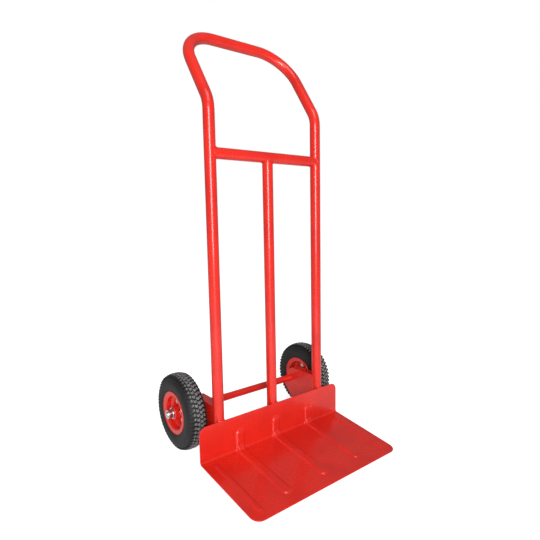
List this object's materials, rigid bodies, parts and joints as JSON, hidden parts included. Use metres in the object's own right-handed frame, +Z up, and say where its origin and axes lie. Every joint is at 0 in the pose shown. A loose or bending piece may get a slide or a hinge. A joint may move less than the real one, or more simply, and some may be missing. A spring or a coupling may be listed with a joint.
{
  "type": "hand truck",
  "caption": "Upright hand truck with a bent-tube loop handle, a pressed toe plate with raised beads, and two pneumatic wheels on a fixed axle.",
  "frame": {"origin": "on the floor, under the centre of the part's bounding box", "axes": "+X to the right seen from the load side, -Y towards the load side, +Z up; the truck stands on its wheels and the toe plate's front edge"},
  "size_m": [0.587, 0.5228, 1.2025],
  "materials": {
    "frame_paint": "glossy bright red paint",
    "rim_paint": "glossy red paint on pressed steel",
    "axle_steel": "bright drawn steel",
    "zinc_hardware": "bright zinc plate",
    "screw_steel": "black oxide",
    "bearing_steel": "ground bearing steel",
    "cage_brass": "plain pressed brass",
    "tyre_rubber": "black rubber, slightly dusty",
    "tube_rubber": "soft black rubber",
    "valve_rubber": "black rubber",
    "valve_cap_plastic": "black plastic"
  },
  "bodies": {
    "truck_frame": {"handle_frame": "frame_paint", "cross_tube": "frame_paint", "centre_tube": "frame_paint", "toe_plate": "frame_paint", "left_axle_bracket": "frame_paint", "right_axle_bracket": "frame_paint", "axle_tube": "frame_paint", "axle": "axle_steel", "left_inner_washer": "zinc_hardware", "right_inner_washer": "zinc_hardware", "left_outer_washer": "zinc_hardware", "right_outer_washer": "zinc_hardware", "left_shaft_collar": "zinc_hardware", "right_shaft_collar": "zinc_hardware", "collar_screws": "screw_steel", "left_bearing_spacer": "bearing_steel", "right_bearing_spacer": "bearing_steel", "left_bearing_inner_rings": "bearing_steel", "right_bearing_inner_rings": "bearing_steel"},
    "left_wheel": {"left_tyre": "tyre_rubber", "left_inner_tube": "tube_rubber", "left_valve_stem": "valve_rubber", "left_valve_cap": "valve_cap_plastic", "left_outer_rim_half": "rim_paint", "left_inner_rim_half": "rim_paint", "left_bearing_outer_rings": "bearing_steel", "left_rim_bolts": "zinc_hardware", "left_rim_nuts": "zinc_hardware", "left_rim_washers": "zinc_hardware"},
    "right_wheel": {"right_tyre": "tyre_rubber", "right_inner_tube": "tube_rubber", "right_valve_stem": "valve_rubber", "right_valve_cap": "valve_cap_plastic", "right_outer_rim_half": "rim_paint", "right_inner_rim_half": "rim_paint", "right_bearing_outer_rings": "bearing_steel", "right_rim_bolts": "zinc_hardware", "right_rim_nuts": "zinc_hardware", "right_rim_washers": "zinc_hardware"},
    "left_ball_set": {"left_bearing_balls": "bearing_steel", "left_ball_cages": "cage_brass"},
    "right_ball_set": {"right_bearing_balls": "bearing_steel", "right_ball_cages": "cage_brass"}
  },
  "joints": [
    {"name": "left_wheel_spin", "type": "hinge", "parent": "truck_frame", "child": "left_wheel", "pos_m": [-0.245, 0.13654, 0.112], "axis": [1, 0, 0], "continuous": true},
    {"name": "right_wheel_spin", "type": "hinge", "parent": "truck_frame", "child": "right_wheel", "pos_m": [0.245, 0.13654, 0.112], "axis": [1, 0, 0], "continuous": true},
    {"name": "left_ball_set_spin", "type": "hinge", "parent": "truck_frame", "child": "left_ball_set", "pos_m": [-0.245, 0.13654, 0.112], "axis": [1, 0, 0], "continuous": true},
    {"name": "right_ball_set_spin", "type": "hinge", "parent": "truck_frame", "child": "right_ball_set", "pos_m": [0.245, 0.13654, 0.112], "axis": [1, 0, 0], "continuous": true}
  ],
  "couplings": [
    {"joint": "left_ball_set_spin", "follows": "left_wheel_spin", "ratio": 0.59375},
    {"joint": "right_ball_set_spin", "follows": "right_wheel_spin", "ratio": 0.59375}
  ]
}
